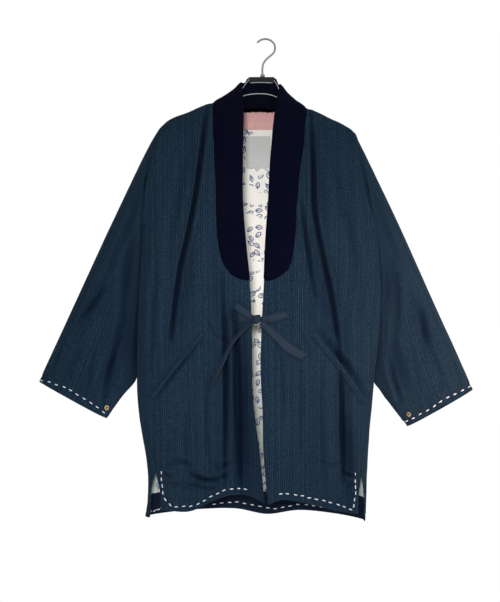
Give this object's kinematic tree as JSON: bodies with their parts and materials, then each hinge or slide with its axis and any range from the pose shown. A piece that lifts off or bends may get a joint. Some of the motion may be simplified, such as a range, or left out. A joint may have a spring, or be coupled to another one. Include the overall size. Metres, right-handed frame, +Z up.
{
  "type": "dotera coat on a hanger",
  "caption": "Padded striped kimono-style coat with a plain shawl collar, a tied tape and wide sleeves, hung on a shouldered plastic hanger by its metal hook",
  "frame": {"origin": "inside the crown of the hanger's hook, where a rail holds it; everything hangs below", "axes": "+Z up along the hung coat, +X to the right of someone facing its front, which is the wearer's left, +Y from the front to the back"},
  "size_m": [0.868, 0.109, 0.9635],
  "materials": {
    "striped_cloth": "padded cotton, dark teal navy with fine uneven pale upright stripes",
    "collar_cloth": "plain matte cotton, near-black navy",
    "tie_cloth": "plain slate navy tape",
    "lining_cloth": "smooth cream cotton with a loose blue pattern",
    "neck_tape_cloth": "dusty pink woven band",
    "label_cloth": "pale grey woven label, bare",
    "snap_brass": "polished stud",
    "hanger_plastic": "glossy black moulded plastic",
    "hook_metal": "bright drawn metal"
  },
  "bodies": {
    "root": {"front_right": "striped_cloth", "front_left": "striped_cloth", "back": "striped_cloth", "sleeve_right": "striped_cloth", "sleeve_left": "striped_cloth", "pocket_welt_right": "striped_cloth", "pocket_welt_left": "striped_cloth", "collar": "collar_cloth", "back_hem_facing": "collar_cloth", "back_lining": "lining_cloth", "neck_tape": "neck_tape_cloth", "size_label": "label_cloth", "tie_knot": "tie_cloth", "tie_band_right": "tie_cloth", "tie_band_left": "tie_cloth", "tie_loop_right": "tie_cloth", "tie_loop_left": "tie_cloth", "tie_tail_right": "tie_cloth", "tie_tail_left": "tie_cloth", "snap_right": "snap_brass", "snap_left": "snap_brass", "hanger_bar": "hanger_plastic", "hanger_hook": "hook_metal"}
  },
  "joints": []
}
